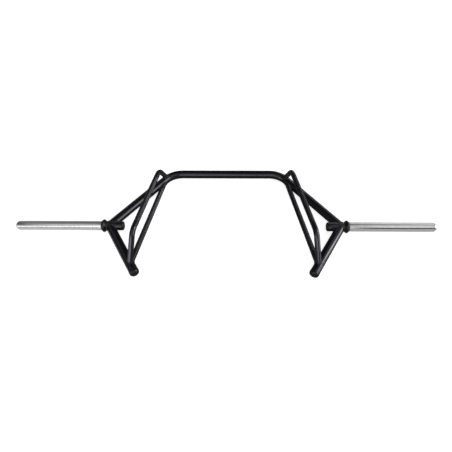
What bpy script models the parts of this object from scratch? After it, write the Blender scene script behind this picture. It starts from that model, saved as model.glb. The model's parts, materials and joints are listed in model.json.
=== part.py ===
"""Open trap bar: a bent rear tube, two hubs with turning plate sleeves, two front arms, and a low
and a raised handle on each side.

Bar coordinates: X runs along the sleeve axis from its middle, Y to the rear bar, Z up from the plane
of the frame. The finished bar lies on its collars and its rear bar, with the origin on the floor under
the middle of its outline.
"""

from math import acos, asin, cos, hypot, pi, radians, sin, tan

import bmesh
import bpy
from mathutils import Vector

# All lengths are in metres, and radii and diameters are outer ones unless they say otherwise.
GAP = 0.0003                # between pieces that touch

# Frame tubes
TUBE_D = 0.0483
TUBE_WALL = 0.0032
CROSSING_HALF = 0.630       # bar's middle to where the tubes' axes cross the sleeve axis
REAR_DEPTH = 0.400          # rear bar's axis behind the sleeve axis
REAR_INWARD = 0.3035        # crossing to the rear tube's corner, towards the middle
REAR_BEND_R = 0.127
JOINT_FRONT = 0.247         # low handle's joint with its arm, in front of the sleeve axis
JOINT_INWARD = 0.155        # crossing to that joint, towards the middle
ARM_PAST_JOINT = 0.0395

# Handles
HANDLE_D = 0.0286
HANDLE_WALL = 0.003
HANDLE_SPLAY = radians(10.7)
GRIP_RISE = 0.137           # raised grip's axis above the low handle's
GRIP_REAR = 0.066           # low handle's rear joint to the raised grip's rear corner, forwards
GRIP_FRONT = 0.113          # its front joint to the grip's front corner, backwards
FOOT_REAR = 0.019           # raised handle's rear foot behind the low handle's rear joint
FOOT_FRONT = 0.008          # its front foot in front of the front joint
GRIP_BEND_R = 0.065

# Hubs, whose tubes hold the sleeves' spindles
HUB_PROUD = 0.00085         # hub's radius over the frame tube's
HUB_WALL = 0.004
HUB_INBOARD = 0.069         # crossing to the hub's inner end
HUB_LIP = 0.0012            # hub left bare outside the welded tubes

# Plastic caps in the hubs' inner ends and on the arms' front ends
CAP_WALL = 0.0025
HUB_CAP_HEAD = 0.009
HUB_CAP_ROUND = 0.008
HUB_CAP_SKIRT = 0.014
ARM_CAP_PROUD = 0.0008      # cap's radius over the tube's
ARM_CAP_STRAIGHT = 0.011
ARM_CAP_DOME = 0.0185
ARM_CAP_SKIRT = 0.024
ARM_CAP_RIB = 0.0009        # how far a rib stands out from the skirt
ARM_CAP_RIB_WIDTH = 0.003
DOME_POWER = 2.5            # 2 is an ellipse, and more is squarer

# Plate sleeves
SLEEVE_D = 0.050
SLEEVE_WALL = 0.0045
SLEEVE_LOAD = 0.445         # length that plates slide onto
SEAT_STEP = 0.001           # bush seats' radius over the sleeve's bore

# Collars, pressed on the sleeves' inner ends
COLLAR_D = 0.070
COLLAR_RIM = 0.005
COLLAR_IN_CONE = 0.0105
COLLAR_OUT_CONE = 0.018
COLLAR_FOOT = 0.0008        # cones' small ends over the sleeve's radius
COLLAR_WEB = 0.0105
COLLAR_CLEAR = 0.001        # web's bore over the journal's radius

# Spindles, bushes and washers
JOURNAL_D = 0.030
SPINDLE_CHAMFER = 0.0015
ROOT_CLEAR = 0.010          # between the hub cap's skirt and the spindle
BUSH_LENGTH = 0.040
THRUST_THICK = 0.0015
THRUST_INSET = 0.002        # thrust washer's radius under the hub's
END_WASHER_THICK = 0.004
END_WASHER_INSET = 0.0005   # end washer's radius under the plug skirt's bore
BOLT_D = 0.016
BOLT_LENGTH = 0.035
BOLT_HOLE_SPARE = 0.003
BOLT_HEAD_FLATS = 0.024
BOLT_HEAD_HEIGHT = 0.010

# Plugs in the sleeves' outer ends
PLUG_HEAD = 0.015
PLUG_BEVEL_LENGTH = 0.012
PLUG_BEVEL_DEPTH = 0.009
PLUG_SKIRT = 0.011
PLUG_WALL = 0.003
PLUG_ROOM = 0.003           # between the bolt's head and the sleeve's end

# Faces round each piece, in fours so that turned pieces match at quarter turns
TUBE_SIDES = 28
HANDLE_SIDES = 24
BENT_BORE_SIDES = 16
SLEEVE_SIDES = 36
HUB_SIDES = 36
CAP_SIDES = 28
INNER_SIDES = 24
BEND_STEP = radians(8.8)
DOME_STEPS = 6

# Radii and places along the sleeve axis, worked out from the sizes above
TUBE_R = TUBE_D / 2
HANDLE_R = HANDLE_D / 2
HUB_R = TUBE_R + HUB_PROUD
HUB_BORE_R = HUB_R - HUB_WALL
SLEEVE_R = SLEEVE_D / 2
SLEEVE_BORE_R = SLEEVE_R - SLEEVE_WALL
SEAT_R = SLEEVE_BORE_R + SEAT_STEP
COLLAR_R = COLLAR_D / 2
JOURNAL_R = JOURNAL_D / 2
BUSH_R = SEAT_R - GAP
PLUG_BORE_R = SEAT_R - GAP - PLUG_WALL


def tube_reach(direction):
    """How far along the sleeve axis a frame tube's outer side meets the hub, past the crossing."""
    return (TUBE_R - abs(direction.x) * HUB_R) / abs(direction.y)


CROSSING = Vector((CROSSING_HALF, 0, 0))
REAR_CORNER = CROSSING + Vector((-REAR_INWARD, REAR_DEPTH, 0))
FRONT_JOINT = CROSSING + Vector((-JOINT_INWARD, -JOINT_FRONT, 0))
REAR_LEG = (REAR_CORNER - CROSSING).normalized()
ARM = (FRONT_JOINT - CROSSING).normalized()
HANDLE = Vector((-sin(HANDLE_SPLAY), cos(HANDLE_SPLAY), 0))

HUB_IN = CROSSING_HALF - HUB_INBOARD
HUB_OUT = CROSSING_HALF + max(tube_reach(REAR_LEG), tube_reach(ARM)) + HUB_LIP
COLLAR_IN = HUB_OUT + GAP + THRUST_THICK + GAP
COLLAR_SEAT = COLLAR_IN + COLLAR_WEB
COLLAR_OUT = COLLAR_IN + COLLAR_IN_CONE + COLLAR_RIM + COLLAR_OUT_CONE
SLEEVE_IN = COLLAR_SEAT + GAP
SLEEVE_OUT = COLLAR_OUT + SLEEVE_LOAD
BOLT_TOP = SLEEVE_OUT - PLUG_ROOM
END_WASHER_IN = BOLT_TOP - BOLT_HEAD_HEIGHT - GAP - END_WASHER_THICK
SPINDLE_OUT = END_WASHER_IN - GAP

# Colours: red, green, blue, then roughness and metallic
FINISHES = {
    "paint": ((0.016, 0.015, 0.020), 0.32, 0.0),
    "chrome": ((0.62, 0.62, 0.62), 0.12, 1.0),
    "cap_plastic": ((0.018, 0.018, 0.019), 0.55, 0.0),
    "collar_black": ((0.014, 0.014, 0.016), 0.38, 0.0),
    "spindle_steel": ((0.42, 0.42, 0.44), 0.35, 1.0),
    "bush_bronze": ((0.50, 0.33, 0.14), 0.40, 1.0),
    "zinc": ((0.55, 0.56, 0.58), 0.35, 1.0),
}


def make_collection(name):
    collection = bpy.data.collections.new(name)
    bpy.context.scene.collection.children.link(collection)
    return collection


def make_material(name):
    colour, roughness, metallic = FINISHES[name]
    material = bpy.data.materials.new(name)
    material.use_nodes = True
    shader = material.node_tree.nodes["Principled BSDF"]
    shader.inputs["Base Color"].default_value = (*colour, 1)
    shader.inputs["Roughness"].default_value = roughness
    shader.inputs["Metallic"].default_value = metallic
    material.diffuse_color = (*colour, 1)
    return material


def mesh_object(name, mesh, collection):
    obj = bpy.data.objects.new(name, mesh)
    collection.objects.link(obj)
    return obj


def settled_mesh(obj):
    """The object's shape as the viewport shows it, as a plain welded mesh with smooth round faces."""
    depsgraph = bpy.context.evaluated_depsgraph_get()
    depsgraph.update()
    mesh = bpy.data.meshes.new_from_object(obj.evaluated_get(depsgraph))
    bm = bmesh.new()
    bm.from_mesh(mesh)
    bmesh.ops.remove_doubles(bm, verts=bm.verts, dist=0.000005)
    bmesh.ops.dissolve_degenerate(bm, edges=bm.edges, dist=0.000005)
    bm.to_mesh(mesh)
    bm.free()
    mesh.shade_smooth()
    mesh.set_sharp_from_angle(angle=radians(30))
    return mesh


def settle(obj):
    """Applies the object's modifiers."""
    mesh = settled_mesh(obj)
    obj.modifiers.clear()
    obj.data = mesh
    mesh.name = obj.name


def finish_piece(obj, parent, finish):
    """Applies the piece's cuts, hangs it on its parent and gives it its own material."""
    settle(obj)
    obj.parent = parent
    obj.data.materials.clear()
    obj.data.materials.append(finish)
    return obj


def rounded_corner(before, corner, after, radius):
    """Points along the arc that rounds a corner of a path, from its start to its end."""
    back = (before - corner).normalized()
    ahead = (after - corner).normalized()
    half = acos(max(-1, min(1, back.dot(ahead)))) / 2
    tangent = radius / tan(half)
    centre = corner + (back + ahead).normalized() * radius / sin(half)
    spoke = corner + back * tangent - centre
    turn = pi - 2 * half
    forward = -back
    steps = max(2, round(turn / BEND_STEP))
    return [centre + spoke * cos(turn * k / steps) + forward * radius * sin(turn * k / steps)
            for k in range(steps + 1)]


def bent_path(corners, radius):
    """A path through the corners, with each inner one rounded."""
    path = [corners[0]]
    for before, corner, after in zip(corners, corners[1:], corners[2:]):
        path += rounded_corner(before, corner, after, radius)
    path.append(corners[-1])
    return path


def round_bar(name, path, radius, sides, collection):
    """A solid round bar along a path, as a closed mesh."""
    curve = bpy.data.curves.new(name, "CURVE")
    curve.dimensions = "3D"
    curve.bevel_depth = radius
    curve.bevel_resolution = sides // 2 - 2
    curve.use_fill_caps = True
    spline = curve.splines.new("POLY")
    spline.points.add(len(path) - 1)
    for point, place in zip(spline.points, path):
        point.co = (*place, 1)
    guide = bpy.data.objects.new(name + "_curve", curve)
    collection.objects.link(guide)
    bar = mesh_object(name, settled_mesh(guide), collection)
    bar.matrix_world = guide.matrix_world
    bpy.data.objects.remove(guide)
    return bar


def as_cutter(obj):
    obj.hide_render = True
    obj.display_type = "WIRE"
    return obj


def cut(obj, cutter, operation="DIFFERENCE"):
    boolean = obj.modifiers.new(operation.lower(), "BOOLEAN")
    boolean.operation = operation
    boolean.solver = "EXACT"
    boolean.object = cutter


def tube(name, corners, radius, wall, sides, bore_sides, bend_radius=0.0):
    """A hollow tube along a bent path, open at both ends."""
    path = bent_path(corners, bend_radius)
    outside = round_bar(name, path, radius, sides, BAR)
    past_start = path[0] + (path[0] - path[1]).normalized() * radius
    past_end = path[-1] + (path[-1] - path[-2]).normalized() * radius
    bore_path = [past_start, *path[1:-1], past_end]
    bore = as_cutter(round_bar(name + "_bore", bore_path, radius - wall, bore_sides, CUTTERS))
    cut(outside, bore)
    return outside


def turned(name, profile, sides, closed=True, collection=None):
    """A piece turned about its own Z, from (radius, height) points that run down its outer side."""
    mesh = bpy.data.meshes.new(name)
    bm = bmesh.new()
    points = [bm.verts.new((radius, 0, height)) for radius, height in profile]
    for first, second in zip(points, points[1:]):
        bm.edges.new((first, second))
    if closed:
        bm.edges.new((points[-1], points[0]))
    bm.to_mesh(mesh)
    bm.free()
    obj = mesh_object(name, mesh, collection or BAR)
    screw = obj.modifiers.new("turn", "SCREW")
    screw.axis = "Z"
    screw.angle = 2 * pi
    screw.steps = sides
    screw.render_steps = sides
    screw.use_merge_vertices = True
    screw.merge_threshold = 0.00001
    screw.use_smooth_shade = True
    return obj


def ring(name, outer, inner, low, high, sides):
    return turned(name, [(outer, high), (outer, low), (inner, low), (inner, high)], sides)


def quarter_round(radius, height, power, steps):
    """Points of a rounded end, from its tip on the axis out to its full radius, as (radius, height)."""
    angles = [pi / 2 * (1 - k / steps) for k in range(1, steps + 1)]
    points = [(radius * max(0, cos(a)) ** (2 / power), height * max(0, sin(a)) ** (2 / power))
              for a in angles]
    return [(0, height), *points]


def empty(name, parent=None):
    obj = bpy.data.objects.new(name, None)
    obj.empty_display_size = 0.1
    BAR.objects.link(obj)
    obj.parent = parent
    return obj


def mirrored(point, side):
    return Vector((side * point.x, point.y, point.z))


def rear_joint():
    """Where the low handle's line from its front joint crosses the bent axis of the rear tube."""
    side = Vector((HANDLE.y, -HANDLE.x, 0))
    path = bent_path(rear_corners(), REAR_BEND_R)
    offsets = [(point - FRONT_JOINT).dot(side) for point in path]
    for k in range(len(path) - 1, 0, -1):
        if offsets[k - 1] <= 0 < offsets[k]:
            share = offsets[k] / (offsets[k] - offsets[k - 1])
            return path[k].lerp(path[k - 1], share)
    raise ValueError("the low handle doesn't reach the rear tube")


def rear_corners():
    """The rear tube's corners, from the left crossing round to the right one."""
    return [mirrored(CROSSING, -1), mirrored(REAR_CORNER, -1), REAR_CORNER, CROSSING]


def make_cutters():
    """What the tubes' ends are shaped to fit: the rear tube, and each side's hub, arm and low handle."""
    rear = round_bar("rear_tube_space", bent_path(rear_corners(), REAR_BEND_R), TUBE_R + GAP,
                     TUBE_SIDES, CUTTERS)
    spaces = {"rear": as_cutter(rear)}
    for side, word in ((-1, "left"), (1, "right")):
        ends = {
            "hub": (CROSSING - Vector((HUB_INBOARD, 0, 0)), CROSSING + Vector((2 * TUBE_D, 0, 0)), HUB_R),
            "arm": (CROSSING, FRONT_JOINT + ARM * TUBE_D, TUBE_R),
            "low": (FRONT_JOINT, rear_joint(), HANDLE_R),
        }
        for kind, (start, end, radius) in ends.items():
            path = [mirrored(start, side), mirrored(end, side)]
            name = f"{word}_{kind}_space"
            spaces[word, kind] = as_cutter(round_bar(name, path, radius + GAP, HUB_SIDES, CUTTERS))
    return spaces


def make_rear_tube(spaces, parent):
    rear = tube("rear_tube", rear_corners(), TUBE_R, TUBE_WALL, TUBE_SIDES, BENT_BORE_SIDES,
                REAR_BEND_R)
    cut(rear, spaces["left", "hub"])
    cut(rear, spaces["right", "hub"])
    finish_piece(rear, parent, MATERIALS["paint"])


def make_front_arm(word, side, spaces, parent):
    ends = [mirrored(CROSSING, side), mirrored(FRONT_JOINT + ARM * ARM_PAST_JOINT, side)]
    arm = tube(f"{word}_front_arm", ends, TUBE_R, TUBE_WALL, TUBE_SIDES, TUBE_SIDES)
    cut(arm, spaces[word, "hub"])
    finish_piece(arm, parent, MATERIALS["paint"])


def make_low_handle(word, side, spaces, parent):
    ends = [mirrored(FRONT_JOINT, side), mirrored(rear_joint(), side)]
    handle = tube(f"{word}_low_handle", ends, HANDLE_R, HANDLE_WALL, HANDLE_SIDES, HANDLE_SIDES)
    cut(handle, spaces[word, "arm"])
    cut(handle, spaces["rear"])
    finish_piece(handle, parent, MATERIALS["paint"])


def make_raised_handle(word, side, spaces, parent):
    rise = Vector((0, 0, GRIP_RISE))
    corners = [
        FRONT_JOINT - HANDLE * FOOT_FRONT,
        FRONT_JOINT + HANDLE * GRIP_FRONT + rise,
        rear_joint() - HANDLE * GRIP_REAR + rise,
        rear_joint() + HANDLE * FOOT_REAR,
    ]
    handle = tube(f"{word}_raised_handle", [mirrored(corner, side) for corner in corners],
                  HANDLE_R, HANDLE_WALL, HANDLE_SIDES, BENT_BORE_SIDES, GRIP_BEND_R)
    for space in (spaces[word, "arm"], spaces["rear"], spaces[word, "low"]):
        cut(handle, space)
    finish_piece(handle, parent, MATERIALS["paint"])


def make_arm_cap(word, side, parent):
    """A domed cap whose ribbed skirt is pushed into the arm's front end."""
    radius = TUBE_R + ARM_CAP_PROUD
    bore = TUBE_R - TUBE_WALL - GAP
    skirt = bore - ARM_CAP_RIB
    height = ARM_CAP_STRAIGHT + ARM_CAP_DOME
    dome = quarter_round(radius, ARM_CAP_DOME, DOME_POWER, DOME_STEPS)
    profile = [(r, ARM_CAP_STRAIGHT + z) for r, z in dome]
    profile += [(radius, 0), (skirt, 0)]
    rib_pitch = ARM_CAP_SKIRT / 2
    for rib in range(2):
        top = -GAP - rib * rib_pitch - rib_pitch + 2 * ARM_CAP_RIB_WIDTH
        profile += [(skirt, top), (bore, top - ARM_CAP_RIB_WIDTH / 2),
                    (bore, top - ARM_CAP_RIB_WIDTH), (skirt, top - 1.5 * ARM_CAP_RIB_WIDTH)]
    profile += [(skirt, -ARM_CAP_SKIRT), (skirt - CAP_WALL, -ARM_CAP_SKIRT),
                (skirt - CAP_WALL, height / 2), (0, height - CAP_WALL)]
    cap = turned(f"{word}_arm_cap", profile, CAP_SIDES, closed=False)
    direction = mirrored(ARM, side)
    cap.location = mirrored(FRONT_JOINT + ARM * (ARM_PAST_JOINT + GAP), side)
    cap.rotation_euler = direction.to_track_quat("Z", "Y").to_euler()
    finish_piece(cap, parent, MATERIALS["cap_plastic"])


def make_hub(word, axis):
    hub = ring(f"{word}_hub", HUB_R, HUB_BORE_R, HUB_IN, HUB_OUT, HUB_SIDES)
    finish_piece(hub, axis, MATERIALS["paint"])


def make_hub_cap(word, axis):
    """A round-edged cap whose skirt is pushed into the hub's inner end."""
    under = HUB_IN - GAP
    skirt_r = HUB_BORE_R - GAP
    bottom = under - HUB_CAP_HEAD
    edge = [(HUB_R - HUB_CAP_ROUND * (1 - cos(a)), bottom + HUB_CAP_ROUND * (1 - sin(a)))
            for a in (pi / 2 * k / 4 for k in range(5))]
    profile = [(skirt_r - CAP_WALL, HUB_IN + HUB_CAP_SKIRT), (skirt_r, HUB_IN + HUB_CAP_SKIRT),
               (skirt_r, under), (HUB_R, under), *edge, (0, bottom)]
    profile = [(0, under - HUB_CAP_HEAD + CAP_WALL), (skirt_r - CAP_WALL, under - HUB_CAP_HEAD + CAP_WALL),
               *profile]
    cap = turned(f"{word}_hub_cap", profile, CAP_SIDES, closed=False)
    finish_piece(cap, axis, MATERIALS["cap_plastic"])


def make_spindle(word, axis):
    """A stepped shaft: its root is welded into the hub, and the sleeve turns on its journal."""
    root_in = HUB_IN + HUB_CAP_SKIRT + ROOT_CLEAR
    root_r = HUB_BORE_R - GAP
    hole_r = BOLT_D / 2 + GAP
    hole_bottom = END_WASHER_IN + END_WASHER_THICK - BOLT_LENGTH - BOLT_HOLE_SPARE
    profile = [(0, hole_bottom), (hole_r, hole_bottom), (hole_r, SPINDLE_OUT),
               (JOURNAL_R - SPINDLE_CHAMFER, SPINDLE_OUT), (JOURNAL_R, SPINDLE_OUT - SPINDLE_CHAMFER),
               (JOURNAL_R, HUB_OUT), (root_r, HUB_OUT), (root_r, root_in), (0, root_in)]
    spindle = turned(f"{word}_spindle", profile, INNER_SIDES, closed=False)
    finish_piece(spindle, axis, MATERIALS["spindle_steel"])


def make_end_bolt(word, axis):
    """A hexagon bolt in the spindle's outer end."""
    head_bottom = END_WASHER_IN + END_WASHER_THICK + GAP
    shank_r = BOLT_D / 2
    shank_in = head_bottom - BOLT_LENGTH
    overlap = BOLT_HEAD_HEIGHT / 2
    bolt = turned(f"{word}_end_bolt",
                  [(0, head_bottom + overlap), (shank_r, head_bottom + overlap),
                   (shank_r, shank_in + SPINDLE_CHAMFER), (shank_r - SPINDLE_CHAMFER, shank_in),
                   (0, shank_in)],
                  INNER_SIDES, closed=False)
    mesh = bpy.data.meshes.new(f"{word}_bolt_head")
    bm = bmesh.new()
    corner_r = BOLT_HEAD_FLATS / 2 / cos(pi / 6)
    bmesh.ops.create_cone(bm, cap_ends=True, segments=6, radius1=corner_r, radius2=corner_r,
                          depth=BOLT_TOP - head_bottom)
    bmesh.ops.translate(bm, vec=(0, 0, (BOLT_TOP + head_bottom) / 2), verts=bm.verts)
    bm.to_mesh(mesh)
    bm.free()
    head = as_cutter(mesh_object(f"{word}_bolt_head", mesh, CUTTERS))
    cut(bolt, head, "UNION")
    finish_piece(bolt, axis, MATERIALS["zinc"])


def make_washers(word, hub_axis):
    thrust = ring(f"{word}_thrust_washer", HUB_R - THRUST_INSET, JOURNAL_R + GAP,
                  HUB_OUT + GAP, HUB_OUT + GAP + THRUST_THICK, INNER_SIDES)
    finish_piece(thrust, hub_axis, MATERIALS["bush_bronze"])
    end = ring(f"{word}_end_washer", PLUG_BORE_R - END_WASHER_INSET, BOLT_D / 2 + GAP,
               END_WASHER_IN, END_WASHER_IN + END_WASHER_THICK, INNER_SIDES)
    finish_piece(end, hub_axis, MATERIALS["zinc"])


def make_sleeve_tube(word, axis):
    """The plate sleeve, with a bush seat at each end of its bore."""
    inner_seat = SLEEVE_IN + BUSH_LENGTH + GAP
    outer_seat = SPINDLE_OUT - BUSH_LENGTH - GAP
    profile = [(SLEEVE_R, SLEEVE_OUT), (SLEEVE_R, SLEEVE_IN), (SEAT_R, SLEEVE_IN), (SEAT_R, inner_seat),
               (SLEEVE_BORE_R, inner_seat), (SLEEVE_BORE_R, outer_seat), (SEAT_R, outer_seat),
               (SEAT_R, SLEEVE_OUT)]
    sleeve = turned(f"{word}_sleeve_tube", profile, SLEEVE_SIDES)
    finish_piece(sleeve, axis, MATERIALS["chrome"])


def make_collar(word, axis):
    """The plate stop: a ring with two cones, a seat for the sleeve and a web that closes on the journal."""
    foot = SLEEVE_R + COLLAR_FOOT
    seat = SLEEVE_R + GAP
    bore = JOURNAL_R + COLLAR_CLEAR
    rim_in = COLLAR_IN + COLLAR_IN_CONE
    rim_out = rim_in + COLLAR_RIM
    profile = [(foot, COLLAR_OUT), (COLLAR_R, rim_out), (COLLAR_R, rim_in), (foot, COLLAR_IN),
               (bore, COLLAR_IN), (bore, COLLAR_SEAT), (seat, COLLAR_SEAT), (seat, COLLAR_OUT)]
    collar = turned(f"{word}_collar", profile, SLEEVE_SIDES)
    finish_piece(collar, axis, MATERIALS["collar_black"])


def make_bushes(word, axis):
    for place, start in (("inner", SLEEVE_IN), ("outer", SPINDLE_OUT - BUSH_LENGTH)):
        bush = ring(f"{word}_{place}_bush", BUSH_R, JOURNAL_R + GAP, start, start + BUSH_LENGTH,
                    INNER_SIDES)
        finish_piece(bush, axis, MATERIALS["bush_bronze"])


def make_end_plug(word, axis):
    """A bevelled plug, hollow to clear the bolt, whose skirt is pressed into the sleeve."""
    under = SLEEVE_OUT + GAP
    top = under + PLUG_HEAD
    skirt_r = SEAT_R - GAP
    skirt_in = SLEEVE_OUT - PLUG_SKIRT
    profile = [(0, top), (SLEEVE_R - PLUG_BEVEL_DEPTH, top), (SLEEVE_R, top - PLUG_BEVEL_LENGTH),
               (SLEEVE_R, under), (skirt_r, under), (skirt_r, skirt_in), (PLUG_BORE_R, skirt_in),
               (PLUG_BORE_R, under), (0, under)]
    plug = turned(f"{word}_end_plug", profile, SLEEVE_SIDES, closed=False)
    finish_piece(plug, axis, MATERIALS["chrome"])


def make_side(word, side, spaces, bar):
    """One side of the bar. Its turned pieces measure their height from the bar's middle outwards."""
    make_front_arm(word, side, spaces, bar)
    make_low_handle(word, side, spaces, bar)
    make_raised_handle(word, side, spaces, bar)
    make_arm_cap(word, side, bar)
    hub_axis = empty(f"{word}_hub_axis", bar)
    sleeve_axis = empty(f"{word}_sleeve_axis", bar)
    for axis in (hub_axis, sleeve_axis):
        axis.rotation_euler = (0, side * pi / 2, 0)
    make_hub(word, hub_axis)
    make_hub_cap(word, hub_axis)
    make_spindle(word, hub_axis)
    make_washers(word, hub_axis)
    make_end_bolt(word, hub_axis)
    make_sleeve_tube(word, sleeve_axis)
    make_collar(word, sleeve_axis)
    make_bushes(word, sleeve_axis)
    make_end_plug(word, sleeve_axis)


def lay_down(bar):
    """Tips the bar onto its collars and rear bar, and sets it over the origin by its outline."""
    bar.rotation_euler = (-asin((COLLAR_R - TUBE_R) / hypot(REAR_DEPTH, COLLAR_R - TUBE_R)), 0, 0)
    bpy.context.view_layer.update()
    corners = [obj.matrix_world @ vertex.co
               for obj in BAR.objects if obj.type == "MESH"
               for vertex in obj.data.vertices]
    low = [min(corner[axis] for corner in corners) for axis in range(3)]
    high = [max(corner[axis] for corner in corners) for axis in range(3)]
    bar.location = (-(low[0] + high[0]) / 2, -(low[1] + high[1]) / 2, -low[2])


for old in list(bpy.data.objects):
    bpy.data.objects.remove(old, do_unlink=True)

BAR = make_collection("trap_bar")
CUTTERS = make_collection("cutters")
MATERIALS = {name: make_material(name) for name in FINISHES}

whole_bar = empty("trap_bar_frame")
fit_spaces = make_cutters()
make_rear_tube(fit_spaces, whole_bar)
for side_word, side_sign in (("left", -1), ("right", 1)):
    make_side(side_word, side_sign, fit_spaces, whole_bar)
lay_down(whole_bar)
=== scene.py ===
"""Looks of an open trap bar: gloss painted tubes with weld beads, knurled grips, plastic caps, black
collars and chromed plate sleeves, on a pale floor in soft studio light.

Bar coordinates: X runs along the sleeve axis from its middle, Y to the rear bar, Z up from the plane
of the frame. Every piece is made in the model's frame, where the bar lies tipped back on its collars.
"""

import json
from math import acos, asin, atan2, cos, hypot, pi, radians, sin, tan

import bmesh
import bpy
from bpy.props import FloatProperty, FloatVectorProperty, IntProperty, PointerProperty
from mathutils import Matrix, Vector, noise
from mathutils.bvhtree import BVHTree


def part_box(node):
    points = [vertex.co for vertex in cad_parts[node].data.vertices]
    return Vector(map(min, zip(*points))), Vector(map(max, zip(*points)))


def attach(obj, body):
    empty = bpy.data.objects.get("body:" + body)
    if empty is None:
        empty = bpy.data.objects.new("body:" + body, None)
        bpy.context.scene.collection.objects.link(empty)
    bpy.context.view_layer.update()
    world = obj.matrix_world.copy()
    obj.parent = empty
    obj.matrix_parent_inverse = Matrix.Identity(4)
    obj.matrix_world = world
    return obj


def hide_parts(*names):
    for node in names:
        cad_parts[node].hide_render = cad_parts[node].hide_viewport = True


bl_info = {
    "name": "Open Trap Bar",
    "version": (1, 0, 0),
    "blender": (4, 5, 0),
    "location": "3D View > Sidebar > Trap Bar",
    "description": "Models the finish of an open trap bar: paint, knurling, weld beads and chrome",
    "category": "Object",
}

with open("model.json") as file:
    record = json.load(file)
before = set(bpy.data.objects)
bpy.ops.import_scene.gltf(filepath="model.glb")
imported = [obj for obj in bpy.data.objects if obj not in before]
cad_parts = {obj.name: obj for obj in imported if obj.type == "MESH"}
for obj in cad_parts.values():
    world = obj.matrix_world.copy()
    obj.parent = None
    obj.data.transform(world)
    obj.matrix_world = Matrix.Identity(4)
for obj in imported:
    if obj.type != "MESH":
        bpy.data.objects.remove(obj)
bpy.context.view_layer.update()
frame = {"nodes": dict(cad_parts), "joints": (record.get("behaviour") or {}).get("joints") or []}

SIDES = (("left", -1), ("right", 1))

# Frame tubes, in metres and in bar coordinates. The skins stay inside the solids' flat facets
SKIN_INSET = 0.00003
TUBE_R = 0.0483 / 2 - SKIN_INSET
CROSSING_HALF = 0.630
REAR_DEPTH = 0.400
REAR_INWARD = 0.3035
REAR_BEND_R = 0.127
JOINT_FRONT = 0.247
JOINT_INWARD = 0.155
ARM_PAST_JOINT = 0.0395

# Handles
HANDLE_R = 0.0286 / 2 - SKIN_INSET
HANDLE_SPLAY = radians(10.7)
GRIP_RISE = 0.137
GRIP_REAR = 0.066
GRIP_FRONT = 0.113
FOOT_REAR = 0.019
FOOT_FRONT = 0.008
GRIP_BEND_R = 0.065

# Turned pieces
HUB_R = 0.025
HUB_BORE_R = HUB_R - 0.004
THRUST_WASHER_R = HUB_R - 0.002
COLLAR_R = 0.035
COLLAR_RIM = 0.005
COLLAR_IN_CONE = 0.0105
COLLAR_OUT_CONE = 0.0105
COLLAR_WEB = 0.0105
COLLAR_BORE_R = 0.016
SLEEVE_R = 0.025
COLLAR_FOOT_R = SLEEVE_R + 0.0008
SEAT_R = 0.0215
SLEEVE_BORE_R = 0.0205
JOURNAL_R = 0.015
PLUG_BEVEL_LENGTH = 0.012
PLUG_BEVEL_DEPTH = 0.009
PLUG_WALL = 0.003
BUSH_SEAT = 0.0403
CAP_WALL = 0.0025
ARM_CAP_R = TUBE_R + 0.0008
ARM_CAP_BORE_FIT = 0.0035
ARM_CAP_STRAIGHT = 0.011
ARM_CAP_DOME = 0.0184
ARM_CAP_SKIRT = 0.024
DOME_POWER = 2.5            # of the superellipse that the arm caps' domes follow
GAP = 0.0003                # play between neighbouring pieces, as in the solids

# Places, worked out from the sizes above and from the frame
AXIS_PLACE = Vector(frame["joints"][0]["pos_m"])
DROP = COLLAR_R - TUBE_R - SKIN_INSET
TIP = asin(DROP / hypot(REAR_DEPTH, DROP))
BAR_TO_MODEL = Matrix.Translation((0, AXIS_PLACE.y, AXIS_PLACE.z)) @ Matrix.Rotation(-TIP, 4, "X")

CROSSING = Vector((CROSSING_HALF, 0, 0))
REAR_CORNER = CROSSING + Vector((-REAR_INWARD, REAR_DEPTH, 0))
FRONT_JOINT = CROSSING + Vector((-JOINT_INWARD, -JOINT_FRONT, 0))
REAR_LEG = (REAR_CORNER - CROSSING).normalized()
ARM = (FRONT_JOINT - CROSSING).normalized()
HANDLE = Vector((-sin(HANDLE_SPLAY), cos(HANDLE_SPLAY), 0))
UP = Vector((0, 0, 1))

# From a joint to the nearest ring of a tube that ends there, so that the ring is clear of its neighbour
CLEAR_OF_HUB = 0.062
CLEAR_OF_TUBE = 0.085
CLEAR_FOOT = 0.080

# Fineness of the meshes
TUBE_SIDES = 96
TURNED_STEPS = 96
BEND_STEP = radians(2.5)
ROUND_STEPS = 4
DOME_STEPS = 20
RIPPLE_STEPS = 6
BEAD_RESOLUTION = 6
SMOOTH_ANGLE = radians(24)
MERGE_DISTANCE = 0.000002

# How a hand-laid bead swells and thins: swellings to a metre, and how far one stands out
BEAD_NOISE_SCALE = 90
BEAD_NOISE_SHARE = 0.16

SEAMS = {}      # the coped edge of each welded tube end, as a closed line of points
MATERIALS = {}


# Sizes and colours that a user would change

def length(name, description, default, low=0.0):
    return FloatProperty(name=name, description=description, default=default, min=low,
                         subtype="DISTANCE", unit="LENGTH")


def angle(name, description, degrees):
    return FloatProperty(name=name, description=description, default=radians(degrees),
                         subtype="ANGLE", unit="ROTATION")


def colour(name, description, default):
    return FloatVectorProperty(name=name, description=description, default=default, size=3,
                               min=0.0, max=1.0, subtype="COLOR")


class KnurlSizes(bpy.types.PropertyGroup):
    """Diamond knurling of the grips."""

    diamonds_round: IntProperty(name="Diamonds Round", default=23, min=12, max=80,
                                description="Pairs of diamonds in one turn round a handle")
    pitch: length("Pitch", "Length of one diamond along the handle", 0.002)
    depth: length("Depth", "Height of the diamonds over their grooves", 0.00025)
    proud: length("Proud", "Height of the diamonds over the plain handle", 0.00001)
    low_margin: length("Low Margin", "Plain length at each end of a low handle", 0.086)
    raised_margin: length("Raised Margin", "Plain length beside each bend of a raised handle", 0.026)


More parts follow.
